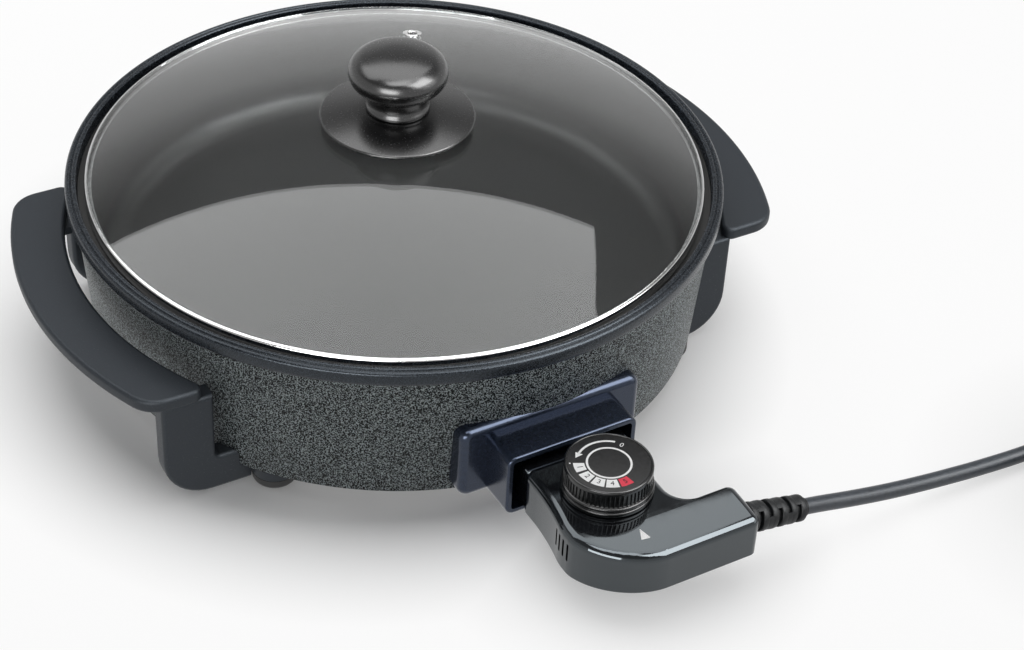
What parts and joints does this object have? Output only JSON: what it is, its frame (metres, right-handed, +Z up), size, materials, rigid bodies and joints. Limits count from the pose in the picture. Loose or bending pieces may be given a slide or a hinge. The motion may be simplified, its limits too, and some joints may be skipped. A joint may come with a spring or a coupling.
{
  "type": "electric skillet",
  "caption": "Round electric skillet with a domed glass lid, side handles on legs, a socket guard and a plug-in thermostat control with dial, probe and cord.",
  "frame": {"origin": "on the table, under the middle of the appliance without its cord", "axes": "+Z up, -Y toward the thermostat control at the front, +X toward the right handle"},
  "size_m": [0.5898, 0.5556, 0.1715],
  "materials": {
    "pan_coat": "black non-stick coat on cast aluminium",
    "shell_coat": "dark grey speckled hammer coat",
    "plain_steel": "plain pressed steel",
    "element_sheath": "oxidised heating tube",
    "insulator": "white ceramic",
    "guard_plastic": "satin moulded phenolic",
    "handle_plastic": "matt moulded phenolic",
    "foot_rubber": "black rubber",
    "lid_glass": "clear tempered glass",
    "band_steel": "polished steel",
    "seal_rubber": "clear silicone",
    "knob_plastic": "satin black phenolic",
    "control_plastic": "glossy black",
    "terminal_phenolic": "brown phenolic",
    "contact_brass": "brass",
    "dial_print": "printed plate",
    "cord_jacket": "matt cord jacket"
  },
  "bodies": {
    "base": {"pan": "pan_coat", "outer_shell": "shell_coat", "base_plate": "plain_steel", "heating_element": "element_sheath", "pin_insulators": "insulator", "socket_guard": "guard_plastic", "guard_screws": "plain_steel", "left_handle": "handle_plastic", "right_handle": "handle_plastic", "handle_screws": "plain_steel", "foot_front_left": "foot_rubber", "foot_front_right": "foot_rubber", "foot_rear_left": "foot_rubber", "foot_rear_right": "foot_rubber"},
    "lid": {"lid_glass": "lid_glass", "lid_band": "band_steel", "lid_gasket": "seal_rubber", "lid_knob_base": "knob_plastic", "lid_knob": "knob_plastic", "lid_washer": "plain_steel", "lid_knob_screw": "plain_steel", "vent_grommet": "plain_steel"},
    "control": {"control_top": "control_plastic", "control_bottom": "control_plastic", "control_screws": "plain_steel", "terminal_block": "terminal_phenolic", "contact_sleeves": "contact_brass", "contact_blades": "contact_brass", "bimetal_arm": "plain_steel", "temperature_probe": "plain_steel", "strain_relief": "cord_jacket", "cord": "cord_jacket", "cord_coil": "cord_jacket", "cord_tie": "cord_jacket", "plug_body": "cord_jacket", "plug_pins": "contact_brass"},
    "dial": {"dial_knob": "control_plastic", "dial_plate": "dial_print", "dial_spindle": "plain_steel"}
  },
  "joints": [
    {"name": "lid_lift", "type": "slide", "parent": "base", "child": "lid", "axis": [0, 0, 1], "range_m": [0, 0.2]},
    {"name": "control_pull", "type": "slide", "parent": "base", "child": "control", "axis": [0, -1, 0], "range_m": [0, 0.1]},
    {"name": "dial_turn", "type": "hinge", "parent": "control", "child": "dial", "pos_m": [0, -0.1775, 0.055], "axis": [0, 0, 1], "range_deg": [0, 250]}
  ]
}
